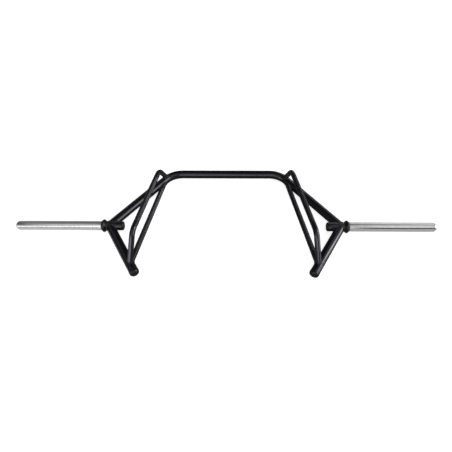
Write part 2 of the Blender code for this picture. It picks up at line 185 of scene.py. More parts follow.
class WeldSizes(bpy.types.PropertyGroup):
    """Beads round the welded joints."""

    bead_radius: length("Bead Radius", "Radius of a bead's round section", 0.0031)
    ripple_pitch: length("Ripple Pitch", "Distance from one ripple to the next", 0.0023)
    ripple_share: FloatProperty(name="Ripple Share", default=0.055, min=0.0, max=0.5,
                                subtype="FACTOR",
                                description="Height of a ripple, as a share of the bead's radius")


class EdgeSizes(bpy.types.PropertyGroup):
    """Small rounds on the turned pieces' edges."""

    machined: length("Machined Edge", "Round on a machined steel edge", 0.0005)
    collar_rim: length("Collar Rim", "Round on the two edges of a collar's rim", 0.0009)
    hub_cap: length("Hub Cap", "Round of a hub cap's outer edge", 0.008)
    plug_face: length("Plug Face", "Round where an end plug's bevel meets its face", 0.0026)
    plug_side: length("Plug Side", "Round where an end plug's bevel meets its side", 0.0032)


class Finishes(bpy.types.PropertyGroup):
    """Colours of the finishes."""

    paint: colour("Paint", "Gloss black of the tubes", (0.0024, 0.0023, 0.0034))
    paint_light: colour("Paint, Light", "Where the paint lies thin or has picked up dust",
                        (0.0046, 0.0044, 0.0058))
    plastic: colour("Cap Plastic", "Moulded caps", (0.0042, 0.0042, 0.0046))
    collar: colour("Collar", "Black coating of the collars", (0.0028, 0.0028, 0.0031))
    chrome: colour("Chrome", "Plating of the sleeves", (0.68, 0.68, 0.675))
    satin_chrome: colour("Satin Chrome", "Duller plating of the end plugs", (0.78, 0.78, 0.775))
    steel: colour("Steel", "Turned and oiled spindles", (0.42, 0.42, 0.44))
    bronze: colour("Bronze", "Bushes and thrust washers, dark with grease", (0.085, 0.058, 0.032))
    zinc: colour("Zinc", "Bolts and washers", (0.55, 0.56, 0.58))
    floor: colour("Floor", "Pale studio floor", (0.62, 0.62, 0.62))


class StageSizes(bpy.types.PropertyGroup):
    """Camera and floor."""

    lens: FloatProperty(name="Lens", description="Focal length in mm on a 36 mm sensor",
                        default=29.125, min=10.0, max=200.0)
    pitch: angle("Pitch", "Camera's angle below the horizon", 52.30)
    yaw: angle("Yaw", "Camera's turn to the right", -1.50)
    roll: angle("Roll", "Camera's roll", -0.90)
    distance: length("Distance", "From the camera to its target", 1.9945)
    target_x: length("Target X", "Camera's target along the sleeve axis", 0.0065, low=-1.0)
    target_y: length("Target Y", "Camera's target towards the rear bar", 0.0020, low=-1.0)
    floor_side: length("Floor Side", "Side of the square floor", 16.0)


class TrapBarSettings(bpy.types.PropertyGroup):
    """Everything that the panel shows."""

    knurl: PointerProperty(type=KnurlSizes)
    weld: PointerProperty(type=WeldSizes)
    edge: PointerProperty(type=EdgeSizes)
    finish: PointerProperty(type=Finishes)
    stage: PointerProperty(type=StageSizes)


def settings():
    """The sizes and colours on the panel."""
    return bpy.context.scene.trap_bar


# Places in the model's frame

def to_model(point, side=1):
    """A point in bar coordinates, or its mirror image on the left side, in the model's frame."""
    return BAR_TO_MODEL @ Vector((side * point.x, point.y, point.z))


def rear_joint():
    """Where the low handle's line from its front joint crosses the bent axis of the rear tube."""
    back = -REAR_LEG
    ahead = Vector((-1, 0, 0))
    half = acos(back.dot(ahead)) / 2
    centre = REAR_CORNER + (back + ahead).normalized() * REAR_BEND_R / sin(half)
    across = FRONT_JOINT - centre
    along = -across.dot(HANDLE)
    miss = (across + HANDLE * along).length
    return FRONT_JOINT + HANDLE * (along + (REAR_BEND_R ** 2 - miss ** 2) ** 0.5)


def axis_matrix(side):
    """Turns a piece made round Z, with its height measured from the bar's middle, onto a side's axis."""
    return BAR_TO_MODEL @ Matrix.Rotation(side * pi / 2, 4, "Y")


def facing(place, way):
    """Turns a piece made round Z to a direction, and moves it to a place."""
    return Matrix.Translation(place) @ way.to_track_quat("Z", "Y").to_matrix().to_4x4()


def reach_out(node):
    """A node's nearest and farthest distance from the bar's middle, along the sleeve axis."""
    low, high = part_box(node)
    return min(abs(low.x), abs(high.x)), max(abs(low.x), abs(high.x))


# Mesh helpers

def new_object(name, data):
    """A new object in the scene."""
    made = bpy.data.objects.new(name, data)
    bpy.context.scene.collection.objects.link(made)
    return made


def finish_mesh(name, bm, body, replaced, material):
    """Makes a bmesh a finished piece: merged, facing outwards, riding on its body and painted."""
    bmesh.ops.remove_doubles(bm, verts=bm.verts, dist=MERGE_DISTANCE)
    bmesh.ops.recalc_face_normals(bm, faces=bm.faces)
    mesh = bpy.data.meshes.new(name)
    bm.to_mesh(mesh)
    bm.free()
    mesh.shade_smooth()
    mesh.set_sharp_from_angle(angle=SMOOTH_ANGLE)
    mesh.materials.append(MATERIALS[material])
    piece = new_object(name, mesh)
    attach(piece, body)
    if replaced:
        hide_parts(*replaced)


def turned(profile, place):
    """A bmesh turned about Z, from (radius, height, rounding) points that go round its outline, and
    then put in its place."""
    bm = bmesh.new()
    verts = [bm.verts.new((radius, 0, height)) for radius, height, _ in profile]
    pairs = list(zip(verts, verts[1:]))
    if profile[0][0] > 0:
        pairs.append((verts[-1], verts[0]))
    for pair in pairs:
        bm.edges.new(pair)
    for vert, (_, _, rounding) in zip(verts, profile):
        if rounding:
            bmesh.ops.bevel(bm, geom=[vert], offset=rounding, offset_type="OFFSET",
                            segments=ROUND_STEPS, profile=0.5, affect="VERTICES", material=-1)
    bmesh.ops.spin(bm, geom=bm.verts[:] + bm.edges[:], cent=(0, 0, 0), axis=(0, 0, 1),
                   dvec=(0, 0, 0), angle=2 * pi, steps=TURNED_STEPS, use_merge=True,
                   use_normal_flip=False, use_duplicate=False)
    bmesh.ops.transform(bm, matrix=place, verts=bm.verts)
    return bm


def surface(*names):
    """The finished pieces of these names, as trees that rays can be cast at."""
    trees = []
    for name in names:
        piece = bpy.data.objects.get(name)
        if piece is None:
            raise RuntimeError(f"make {name} first")
        bm = bmesh.new()
        bm.from_mesh(piece.data)
        trees.append(BVHTree.FromBMesh(bm))
        bm.free()
    return trees


def first_hit(trees, start, direction):
    """Where a ray first meets one of the trees."""
    hits = [tree.ray_cast(start, direction) for tree in trees]
    found = [hit for hit in hits if hit[0] is not None]
    if not found:
        raise RuntimeError(f"nothing is met from {start}")
    return min(found, key=lambda hit: hit[3])[0]


class TubeRun:
    """A tube grown ring by ring, as a bender feeds it: straight lengths, bends and knurled bands."""

    def __init__(self, place, direction, radius, sides):
        self.bm = bmesh.new()
        self.place = place.copy()
        self.direction = direction.normalized()
        self.radius = radius
        made = bmesh.ops.create_circle(self.bm, segments=sides, radius=radius,
                                       matrix=facing(place, self.direction))
        self.loop = made["verts"]
        self.ring = self.bm.edges[:]

    def grow(self, matrix=Matrix.Identity(4)):
        """Extrudes the open ring and moves the new one."""
        made = bmesh.ops.extrude_edge_only(self.bm, edges=self.ring)["geom"]
        fresh = {part for part in made if isinstance(part, bmesh.types.BMVert)}
        self.ring = [part for part in made if isinstance(part, bmesh.types.BMEdge)]
        self.loop = [next(vert for vert in (edge.other_vert(old) for edge in old.link_edges)
                          if vert in fresh) for old in self.loop]
        bmesh.ops.transform(self.bm, matrix=matrix, verts=self.loop)

    def straight(self, distance):
        """Goes straight on."""
        self.place += self.direction * distance
        self.grow(Matrix.Translation(self.direction * distance))

    def bend(self, towards, radius):
        """Turns the tube to a new direction round one bend."""
        towards = towards.normalized()
        axis = self.direction.cross(towards).normalized()
        swing = acos(self.direction.dot(towards))
        centre = self.place + axis.cross(self.direction) * radius
        steps = max(2, round(swing / BEND_STEP))
        turn = (Matrix.Translation(centre) @ Matrix.Rotation(swing / steps, 4, axis)
                @ Matrix.Translation(-centre))
        for _ in range(steps):
            self.grow(turn)
            self.place = turn @ self.place
        self.direction = towards

    def follow(self, corner, towards, radius):
        """Goes straight to a corner's bend and round it."""
        towards = towards.normalized()
        tangent = radius * tan(acos(self.direction.dot(towards)) / 2)
        self.straight((corner - self.place).dot(self.direction) - tangent)
        self.bend(towards, radius)

    def knurl(self, distance, sizes):
        """A band of diamonds: every other point stands out, and the grooves between are creased."""
        margin = sizes.pitch / 4
        distance -= 2 * margin
        self.straight(margin)
        steps = 2 * round(distance / sizes.pitch)
        spokes = [(vert.co - self.place).normalized() for vert in self.loop]
        start, before = self.place.copy(), self.loop
        self.straight(distance)
        lines = [self.bm.edges.get(pair) for pair in zip(before, self.loop)]
        ends = [vert.co.copy() for vert in self.loop]
        made = bmesh.ops.subdivide_edges(self.bm, edges=lines, cuts=steps - 1)["geom_inner"]
        rim = {vert for edge in self.ring for vert in edge.verts}
        self.loop = [min(rim, key=lambda vert: (vert.co - end).length_squared) for end in ends]
        grooves = []
        for vert in made:
            if not isinstance(vert, bmesh.types.BMVert):
                continue
            step = round((vert.co - start).dot(self.direction) / distance * steps)
            centre = start + self.direction * (distance * step / steps)
            turn = atan2((vert.co - centre).dot(spokes[len(spokes) // 4]),
                         (vert.co - centre).dot(spokes[0]))
            index = round(turn / (2 * pi) * len(spokes))
            proud = sizes.proud
            if (index + step) % 2 == 0:
                proud -= sizes.depth
                grooves.append(vert)
            vert.co = centre + (vert.co - centre).normalized() * (self.radius + proud)
        bmesh.ops.connect_verts(self.bm, verts=grooves)
        self.straight(margin)

    def reach(self, trees, backwards=False):
        """Copes an end: each point of a new ring goes on to the neighbour's surface."""
        kept = self.ring, self.loop
        way = -self.direction if backwards else self.direction
        self.grow()
        for vert in self.loop:
            vert.co = first_hit(trees, vert.co, way)
        seam = [vert.co.copy() for vert in self.loop]
        self.close()
        if backwards:
            self.ring, self.loop = kept
        return seam

    def close(self):
        """Closes the open end, and gives its face."""
        return bmesh.ops.edgeloop_fill(self.bm, edges=self.ring)["faces"]


# Tubes of the frame

def bevel_ring(bm, faces, size):
    """Rounds the rim of a flat end."""
    rim = list({edge for face in faces for edge in face.edges})
    bmesh.ops.bevel(bm, geom=rim, offset=size, offset_type="OFFSET", segments=ROUND_STEPS,
                    profile=0.5, affect="EDGES", material=-1)


def make_rear_tube():
    """The bent tube from hub to hub, round the back."""
    corners = [to_model(CROSSING, -1), to_model(REAR_CORNER, -1), to_model(REAR_CORNER),
               to_model(CROSSING)]
    way = (corners[1] - corners[0]).normalized()
    run = TubeRun(corners[0] + way * CLEAR_OF_HUB, way, TUBE_R, TUBE_SIDES)
    SEAMS["left_rear_leg"] = run.reach(surface("left_hub_shell"), backwards=True)
    run.follow(corners[1], corners[2] - corners[1], REAR_BEND_R)
    run.follow(corners[2], corners[3] - corners[2], REAR_BEND_R)
    run.straight((corners[3] - run.place).length - CLEAR_OF_HUB)
    SEAMS["right_rear_leg"] = run.reach(surface("right_hub_shell"))
    finish_mesh("rear_tube_shell", run.bm, "frame", ["rear_tube"], "paint")


def make_front_arm(word, side):
    """A straight tube of the open front, from the hub past the low handle."""
    start = to_model(CROSSING, side)
    joint = to_model(FRONT_JOINT, side)
    way = (joint - start).normalized()
    run = TubeRun(start + way * CLEAR_OF_HUB, way, TUBE_R, TUBE_SIDES)
    SEAMS[f"{word}_arm"] = run.reach(surface(f"{word}_hub_shell"), backwards=True)
    run.straight((joint - run.place).length + ARM_PAST_JOINT)
    bevel_ring(run.bm, run.close(), settings().edge.machined)
    finish_mesh(f"{word}_arm_shell", run.bm, "frame", [f"{word}_front_arm"], "paint")


def make_low_handle(word, side):
    """The straight handle in the frame's plane, knurled between its joints."""
    knurl = settings().knurl
    start, end = to_model(FRONT_JOINT, side), to_model(rear_joint(), side)
    way = (end - start).normalized()
    run = TubeRun(start + way * CLEAR_OF_TUBE, way, HANDLE_R, 4 * knurl.diamonds_round)
    SEAMS[f"{word}_low_front"] = run.reach(surface(f"{word}_arm_shell"), backwards=True)
    run.straight(knurl.low_margin - CLEAR_OF_TUBE)
    run.knurl((end - start).length - 2 * knurl.low_margin, knurl)
    run.straight(knurl.low_margin - CLEAR_OF_TUBE)
    SEAMS[f"{word}_low_rear"] = run.reach(surface("rear_tube_shell"))
    finish_mesh(f"{word}_low_handle_shell", run.bm, "frame", [f"{word}_low_handle"], "paint")


def make_raised_handle(word, side):
    """The bent handle whose feet stand over the low handle's ends."""
    knurl = settings().knurl
    rise = UP * GRIP_RISE
    corners = [to_model(corner, side) for corner in (
        FRONT_JOINT - HANDLE * FOOT_FRONT,
        FRONT_JOINT + HANDLE * GRIP_FRONT + rise,
        rear_joint() - HANDLE * GRIP_REAR + rise,
        rear_joint() + HANDLE * FOOT_REAR)]
    up_leg, grip, down_leg = (after - before for before, after in zip(corners, corners[1:]))
    run = TubeRun(corners[0] + up_leg.normalized() * CLEAR_FOOT, up_leg, HANDLE_R,
                  4 * knurl.diamonds_round)
    low = f"{word}_low_handle_shell"
    SEAMS[f"{word}_raised_front"] = run.reach(surface(f"{word}_arm_shell", low), backwards=True)
    run.follow(corners[1], grip, GRIP_BEND_R)
    tangent = GRIP_BEND_R * tan(acos(grip.normalized().dot(down_leg.normalized())) / 2)
    plain = knurl.raised_margin
    run.straight(plain)
    run.knurl((corners[2] - run.place).length - tangent - plain, knurl)
    run.follow(corners[2], down_leg, GRIP_BEND_R)
    run.straight((corners[3] - run.place).length - CLEAR_FOOT)
    SEAMS[f"{word}_raised_rear"] = run.reach(surface("rear_tube_shell", low))
    finish_mesh(f"{word}_raised_handle_shell", run.bm, "frame", [f"{word}_raised_handle"],
                "paint")


# Weld beads

def along_seam(seam, spacing):
    """Points at an even spacing along a closed line."""
    closed = seam + seam[:1]
    lengths = [(after - before).length for before, after in zip(closed, closed[1:])]
    count = round(sum(lengths) / spacing)
    pace = sum(lengths) / count
    points, passed, stretch = [], 0.0, 0
    for number in range(count):
        target = number * pace
        while passed + lengths[stretch] < target:
            passed += lengths[stretch]
            stretch += 1
        share = (target - passed) / lengths[stretch]
        points.append(closed[stretch].lerp(closed[stretch + 1], share))
    return points


def make_weld(name, seam):
    """A bead with ripples, like coins laid down in a row, along a seam."""
    sizes = settings().weld
    points = along_seam(seam, sizes.ripple_pitch / RIPPLE_STEPS)
    curve = bpy.data.curves.new(name, "CURVE")
    curve.dimensions = "3D"
    curve.bevel_depth = sizes.bead_radius
    curve.bevel_resolution = BEAD_RESOLUTION
    spline = curve.splines.new("POLY")
    spline.points.add(len(points) - 1)
    spline.use_cyclic_u = True
    for number, (point, place) in enumerate(zip(spline.points, points)):
        across = 2 * (number % RIPPLE_STEPS) / RIPPLE_STEPS - 1
        uneven = noise.noise(place * BEAD_NOISE_SCALE) * BEAD_NOISE_SHARE
        point.co = (*place, 1)
        point.radius = 1 + sizes.ripple_share * (2 * (1 - across * across) ** 0.5 - 1) + uneven
    guide = new_object(name + "_guide", curve)
    mesh = bpy.data.meshes.new_from_object(guide.evaluated_get(bpy.context.evaluated_depsgraph_get()))
    bm = bmesh.new()
    bm.from_mesh(mesh)
    bpy.data.objects.remove(guide)
    bpy.data.meshes.remove(mesh)
    finish_mesh(name, bm, "frame", [], "weld_paint")


# Turned pieces

def make_hub(word, side):
    """The short tube on the sleeve axis that the frame's tubes are welded to."""
    inner, outer = reach_out(f"{word}_hub")
    edge = settings().edge.machined
    bm = turned([(HUB_R, outer, edge), (HUB_R, inner, edge), (HUB_BORE_R, inner, 0),
                 (HUB_BORE_R, outer, 0)], axis_matrix(side))
    finish_mesh(f"{word}_hub_shell", bm, "frame", [f"{word}_hub"], "paint")


def make_hub_cap(word, side):
    """A round-edged cap whose skirt is pushed into the hub's inner end."""
    edges = settings().edge
    tip, skirt_end = reach_out(f"{word}_hub_cap")
    under = reach_out(f"{word}_hub")[0] - GAP
    skirt_r = HUB_BORE_R - GAP
    bm = turned([(0, tip + CAP_WALL, 0), (skirt_r - CAP_WALL, tip + CAP_WALL, 0),
                 (skirt_r - CAP_WALL, skirt_end, 0), (skirt_r, skirt_end, edges.machined),
                 (skirt_r, under, 0), (HUB_R, under, edges.machined), (HUB_R, tip, edges.hub_cap),
                 (0, tip, 0)], axis_matrix(side))
    finish_mesh(f"{word}_hub_cap_moulding", bm, "frame", [f"{word}_hub_cap"], "plastic")


def make_arm_cap(word, side):
    """A domed cap whose skirt is pushed into the arm's front end."""
    edge = settings().edge.machined
    skirt_r = TUBE_R - ARM_CAP_BORE_FIT
    tip = ARM_CAP_STRAIGHT + ARM_CAP_DOME
    dome = [(ARM_CAP_R * sin(turn) ** (2 / DOME_POWER),
             ARM_CAP_STRAIGHT + ARM_CAP_DOME * cos(turn) ** (2 / DOME_POWER), 0)
            for turn in (pi / 2 * step / DOME_STEPS for step in range(1, DOME_STEPS))]
    place = to_model(FRONT_JOINT + ARM * (ARM_PAST_JOINT + GAP), side)
    way = (to_model(FRONT_JOINT, side) - to_model(CROSSING, side)).normalized()
    bm = turned([(0, tip, 0), *dome, (ARM_CAP_R, ARM_CAP_STRAIGHT, 0), (ARM_CAP_R, 0, edge),
                 (skirt_r, 0, 0), (skirt_r, -ARM_CAP_SKIRT, edge),
                 (skirt_r - CAP_WALL, -ARM_CAP_SKIRT, 0), (skirt_r - CAP_WALL, tip / 2, 0),
                 (0, tip - CAP_WALL, 0)], facing(place, way))
    finish_mesh(f"{word}_arm_cap_moulding", bm, "frame", [f"{word}_arm_cap"], "plastic")


def make_collar(word, side):
    """The plate stop: two cones that meet at a narrow rim."""
    edges = settings().edge
    seat_r = SLEEVE_R + GAP
    inner = reach_out(f"{word}_collar")[0]
    web = inner + COLLAR_WEB
    rim_in = inner + COLLAR_IN_CONE
    rim_out = rim_in + COLLAR_RIM
    outer = rim_out + COLLAR_OUT_CONE
    bm = turned([(COLLAR_FOOT_R, outer, GAP), (COLLAR_R, rim_out, edges.collar_rim),
                 (COLLAR_R, rim_in, edges.collar_rim), (COLLAR_FOOT_R, inner, edges.machined),
                 (COLLAR_BORE_R, inner, 0), (COLLAR_BORE_R, web, 0), (seat_r, web, 0),
                 (seat_r, outer, 0)], axis_matrix(side))
    finish_mesh(f"{word}_collar_ring", bm, f"{word}_sleeve", [f"{word}_collar"],
                "collar")


def make_sleeve_tube(word, side):
    """The plate sleeve, with a bush seat at each end of its bore."""
    edge = settings().edge.machined
    inner, outer = reach_out(f"{word}_sleeve_tube")
    inner_seat = inner + BUSH_SEAT
    outer_seat = reach_out(f"{word}_spindle")[1] - BUSH_SEAT
    bm = turned([(SLEEVE_R, outer, edge), (SLEEVE_R, inner, edge), (SEAT_R, inner, 0),
                 (SEAT_R, inner_seat, 0), (SLEEVE_BORE_R, inner_seat, 0),
                 (SLEEVE_BORE_R, outer_seat, 0), (SEAT_R, outer_seat, 0), (SEAT_R, outer, 0)],
                axis_matrix(side))
    finish_mesh(f"{word}_chromed_sleeve", bm, f"{word}_sleeve", [f"{word}_sleeve_tube"],
                "chrome")


def make_end_plug(word, side):
    """A bevelled plug whose skirt is pressed into the sleeve."""
    edges = settings().edge
    skirt_in, tip = reach_out(f"{word}_end_plug")
    under = reach_out(f"{word}_sleeve_tube")[1] + GAP
    skirt_r = SEAT_R - GAP
    bm = turned([(0, tip, 0), (SLEEVE_R - PLUG_BEVEL_DEPTH, tip, edges.plug_face),
                 (SLEEVE_R, tip - PLUG_BEVEL_LENGTH, edges.plug_side),
                 (SLEEVE_R, under, edges.machined), (skirt_r, under, 0), (skirt_r, skirt_in, 0),
                 (skirt_r - PLUG_WALL, skirt_in, 0), (skirt_r - PLUG_WALL, under, 0), (0, under, 0)],
                axis_matrix(side))
    finish_mesh(f"{word}_chromed_plug", bm, f"{word}_sleeve", [f"{word}_end_plug"],
                "satin_chrome")


def make_thrust_washer(word, side):
    """The narrow ring between the hub and the collar."""
    edge = settings().edge.machined / 2
    bore_r = JOURNAL_R + GAP
    inner, outer = reach_out(f"{word}_thrust_washer")
    bm = turned([(THRUST_WASHER_R, outer, edge), (THRUST_WASHER_R, inner, edge), (bore_r, inner, 0),
                 (bore_r, outer, 0)], axis_matrix(side))
    finish_mesh(f"{word}_thrust_ring", bm, "frame", [f"{word}_thrust_washer"], "bronze")


# Material helpers

def fill(tree, node, inputs):
    """Links the inputs whose value is another node's socket, and sets the others."""
    for key, value in inputs.items():
        socket = node.inputs[key]
        if isinstance(value, bpy.types.NodeSocket):
            tree.links.new(value, socket)
        else:
            socket.default_value = (*value, 1) if socket.type == "RGBA" else value


def add_node(tree, kind, inputs, **options):
    """A new node with its options and inputs."""
    made = tree.nodes.new(kind)
    for name, value in options.items():
        setattr(made, name, value)
    fill(tree, made, inputs)
    return made


def maths(tree, operation, *values):
    """The result of a Math node."""
    return add_node(tree, "ShaderNodeMath", dict(enumerate(values)), operation=operation).outputs[0]


def remapped(tree, value, low, high, new_low=0.0, new_high=1.0, kind="LINEAR"):
    """A value stretched from one range to another, and clamped."""
    return add_node(tree, "ShaderNodeMapRange",
                    {"Value": value, "From Min": low, "From Max": high, "To Min": new_low,
                     "To Max": new_high}, interpolation_type=kind).outputs["Result"]


def grain(tree, place, scale, **inputs):
    """A noise pattern's value."""
    return add_node(tree, "ShaderNodeTexNoise",
                    {"Vector": place, "Scale": scale, **inputs}).outputs["Fac"]


def mixed(tree, share, first, second):
    """Two colours mixed by a mask that varies over the surface."""
    made = add_node(tree, "ShaderNodeMix", {"Factor": share}, data_type="RGBA")
    numbers = {socket.identifier: number for number, socket in enumerate(made.inputs)}
    fill(tree, made, {numbers["A_Color"]: first, numbers["B_Color"]: second})
    return next(socket for socket in made.outputs if socket.identifier == "Result_Color")


def bumped(tree, height, distance):
    """The normal of a surface that rises and falls with a height."""
    return add_node(tree, "ShaderNodeBump", {"Height": height, "Distance": distance}).outputs["Normal"]


def new_group(name, inputs, outputs):
    """A node group that reads a place and some values, as (tree, its inputs, its output node)."""
    tree = bpy.data.node_groups.new(name, "ShaderNodeTree")
    tree.interface.new_socket("Vector", in_out="INPUT", socket_type="NodeSocketVector")
    for socket, default in inputs.items():
        made = tree.interface.new_socket(socket, in_out="INPUT", socket_type="NodeSocketFloat")
        made.default_value = default
    for socket in outputs:
        tree.interface.new_socket(socket, in_out="OUTPUT", socket_type="NodeSocketFloat")
    entry = tree.nodes.new("NodeGroupInput")
    return tree, entry.outputs, tree.nodes.new("NodeGroupOutput")


def use_group(tree, name, place, **inputs):
    """A node group's outputs, with its pattern read at a place."""
    return add_node(tree, "ShaderNodeGroup", {"Vector": place, **inputs},
                    node_tree=bpy.data.node_groups[name]).outputs


# Effects that several finishes share

# The stretch of each noise pattern's values that its effect is drawn from
PATCH_RANGE = (0.34, 0.68)
SPECK_RANGE = (0.50, 0.62)
RING_RANGE = (0.42, 0.72)
SCUFF_RANGE = (0.60, 0.74)

SPECK_FIELD_SCALE = 45.0    # the fields that hold specks are larger than the specks
GRAIN_FINENESS = 4.3        # how much finer a skin's grain is than its rolling


def group_patches():
    """Soft cloudy patches, for uneven gloss, dust film and smudges."""
    tree, entry, result = new_group("Soft Patches", {"Scale": 20.0, "Low": 0.0, "High": 1.0}, ["Value"])
    cloud = grain(tree, entry["Vector"], entry["Scale"], Detail=4.0, Roughness=0.6, Distortion=0.6)
    spread = remapped(tree, cloud, *PATCH_RANGE, entry["Low"], entry["High"], kind="SMOOTHSTEP")
    fill(tree, result, {"Value": spread})


def group_orange_peel():
    """Fine rolling unevenness of a sprayed or moulded skin, as a height."""
    tree, entry, result = new_group("Orange Peel", {"Scale": 500.0, "Grain": 0.2}, ["Height"])
    rolling = grain(tree, entry["Vector"], entry["Scale"], Detail=1.5, Roughness=0.5)
    finer = maths(tree, "MULTIPLY", entry["Scale"], GRAIN_FINENESS)
    fine = grain(tree, entry["Vector"], finer, Detail=1.0)
    part = maths(tree, "MULTIPLY", fine, entry["Grain"])
    fill(tree, result, {"Height": maths(tree, "ADD", rolling, part)})


def group_specks():
    """Sparse small specks, as a mask."""
    tree, entry, result = new_group("Specks", {"Scale": 300.0, "Size": 0.12}, ["Mask"])
    cells = add_node(tree, "ShaderNodeTexVoronoi", {"Vector": entry["Vector"], "Scale": entry["Scale"]})
    spot = remapped(tree, cells.outputs["Distance"], entry["Size"], 0.0)
    field = grain(tree, entry["Vector"], SPECK_FIELD_SCALE, Detail=2.0)
    fill(tree, result, {"Mask": maths(tree, "MULTIPLY", spot, remapped(tree, field, *SPECK_RANGE))})


def group_turned_lines():
    """Fine rings round the sleeve axis, as a lathe and polishing belts leave them."""
    tree, entry, result = new_group("Turned Lines", {"Lines": 1800.0}, ["Height", "Mask"])
    squeeze = add_node(tree, "ShaderNodeMapping", {"Vector": entry["Vector"], "Scale": (1, 0.02, 0.02)})
    lines = grain(tree, squeeze.outputs["Vector"], entry["Lines"], Detail=3.0, Roughness=0.65)
    fill(tree, result, {"Height": lines, "Mask": remapped(tree, lines, *RING_RANGE)})


def group_scuffs():
    """Long thin marks that sliding plates leave along a sleeve, as a mask."""
    tree, entry, result = new_group("Plate Scuffs", {"Scale": 260.0}, ["Mask"])
    stretch = add_node(tree, "ShaderNodeMapping", {"Vector": entry["Vector"], "Scale": (0.035, 1, 1),
                                                   "Rotation": (0.0, 0.02, 0.015)})
    marks = grain(tree, stretch.outputs["Vector"], entry["Scale"], Detail=4.0, Roughness=0.7)
    fill(tree, result, {"Mask": remapped(tree, marks, *SCUFF_RANGE)})


# Finishes

# Black skins. Their gloss is a little violet
FILM_SCALE = 14.0
GLOSS_SCALE = 55.0
DUST_SCALE = 420.0
DUST = (0.10, 0.10, 0.105)
DUST_SHARE = 0.35
PEEL_GRAIN = 0.25
GLOSS_TINT = (0.90, 0.88, 1.0)

# Bright metals. Rings and smudges take their tone towards the dull one
DULL_TONE = 0.86
RING_SHARE = 0.5
SMUDGE_SCALE = 32.0
SMUDGE_SHARE = 0.45
SCUFF_ROUGHNESS = 0.10


def new_material(name):
    """A material with its node tree, its Principled BSDF and the object's coordinates."""
    material = bpy.data.materials.new(name)
    material.use_nodes = True
    tree = material.node_tree
    coordinates = tree.nodes.new("ShaderNodeTexCoord")
    MATERIALS[name] = material
    return tree, tree.nodes["Principled BSDF"], coordinates.outputs["Object"]


def coated(name, dark, light, gloss, peel, specular):
    """A black skin: uneven gloss, a few dust specks and orange peel."""
    tree, shader, place = new_material(name)
    film = use_group(tree, "Soft Patches", place, Scale=FILM_SCALE)["Value"]
    specks = use_group(tree, "Specks", place, Scale=DUST_SCALE)["Mask"]
    dusty = maths(tree, "MULTIPLY", specks, DUST_SHARE)
    patches = use_group(tree, "Soft Patches", place, Scale=GLOSS_SCALE, Low=gloss[0], High=gloss[1])
    scale, depth = peel
    skin = use_group(tree, "Orange Peel", place, Scale=scale, Grain=PEEL_GRAIN)["Height"]
    fill(tree, shader, {"Base Color": mixed(tree, dusty, mixed(tree, film, dark, light), DUST),
                        "Roughness": patches["Value"], "Specular IOR Level": specular,
                        "Specular Tint": GLOSS_TINT, "Normal": bumped(tree, skin, depth)})


def plated(name, bright, lines, roughness, depth):
    """Bright metal with turned rings, smudges and fine scuffs."""
    tree, shader, place = new_material(name)
    rings = use_group(tree, "Turned Lines", place, Lines=lines)
    scuffs = use_group(tree, "Plate Scuffs", place)
    smudge = use_group(tree, "Soft Patches", place, Scale=SMUDGE_SCALE)["Value"]
    dull = [part * DULL_TONE for part in bright]
    tone = mixed(tree, maths(tree, "MULTIPLY", rings["Mask"], RING_SHARE), bright, dull)
    tone = mixed(tree, maths(tree, "MULTIPLY", smudge, SMUDGE_SHARE), tone, dull)
    rough = remapped(tree, smudge, 0.0, 1.0, *roughness)
    rough = maths(tree, "MULTIPLY_ADD", scuffs["Mask"], SCUFF_ROUGHNESS, rough)
    fill(tree, shader, {"Base Color": tone, "Metallic": 1.0, "Roughness": rough,
                        "Normal": bumped(tree, rings["Height"], depth)})


def make_materials():
    """The groups and all the finishes, the first time that a step asks for them."""
    if MATERIALS:
        return
    finish = settings().finish
    for make in (group_patches, group_orange_peel, group_specks, group_turned_lines, group_scuffs):
        make()
    # Range of roughness, scale and depth of the peel, and specular level
    coated("paint", finish.paint, finish.paint_light, (0.11, 0.18), (420.0, 0.00003), 0.58)
    coated("weld_paint", finish.paint, finish.paint_light, (0.18, 0.30), (700.0, 0.00010), 0.58)
    coated("plastic", finish.plastic, finish.paint_light, (0.22, 0.32), (1500.0, 0.00003), 0.42)
    coated("collar", finish.collar, finish.paint_light, (0.34, 0.44), (600.0, 0.00004), 0.42)
    # Scale of the turned lines, range of roughness, and depth of the lines
    plated("chrome", finish.chrome, 2200.0, (0.13, 0.20), 0.000008)
    plated("satin_chrome", finish.satin_chrome, 1400.0, (0.30, 0.38), 0.00001)
    plated("steel", finish.steel, 1500.0, (0.30, 0.42), 0.00002)
    plated("bronze", finish.bronze, 1500.0, (0.34, 0.48), 0.00002)
    plated("zinc", finish.zinc, 900.0, (0.32, 0.45), 0.00002)


# Stage

# Camera: its sensor's width in mm, and how far it sees in metres
SENSOR_WIDTH = 36.0
VIEW_END = 50.0

# What the gloss mirrors: a dim room, and soft panels by azimuth, which is 0 in front and grows to the
# right, and by height, in degrees, with the width of their soft edges and their brightness
DIM_ROOM = 0.055
BACKDROP = 0.97             # what the camera itself sees of the room
STUDIO_PANELS = (
    ((-60, 2), (-40, 60), 8, 0.50),         # front wall on the left
    ((2, 60), (-50, 56), 8, 0.34),          # front wall on the right
    ((-22, 14), (36, 64), 7, 0.60),         # high panel in the middle
    ((-96, -14), (53, 88), 8, 0.30),        # ceiling on the left
    ((22, 104), (33, 80), 6, 0.52),         # ceiling on the right
    ((104, 158), (33, 62), 6, 0.20),        # its far edge
    ((66, 86), (-6, 42), 4, 3.6),           # side light, before the bar
    ((90, 104), (12, 43), 5, 8.2),          # side light, beside the bar
    ((90, 104), (-8, 14), 4, 1.6),          # its dim foot
    ((104, 118), (-5, 36), 4, 1.0),         # its dim edge
    ((-67, -48), (4, 22), 4, 2.5),          # soft lamp on the left
)
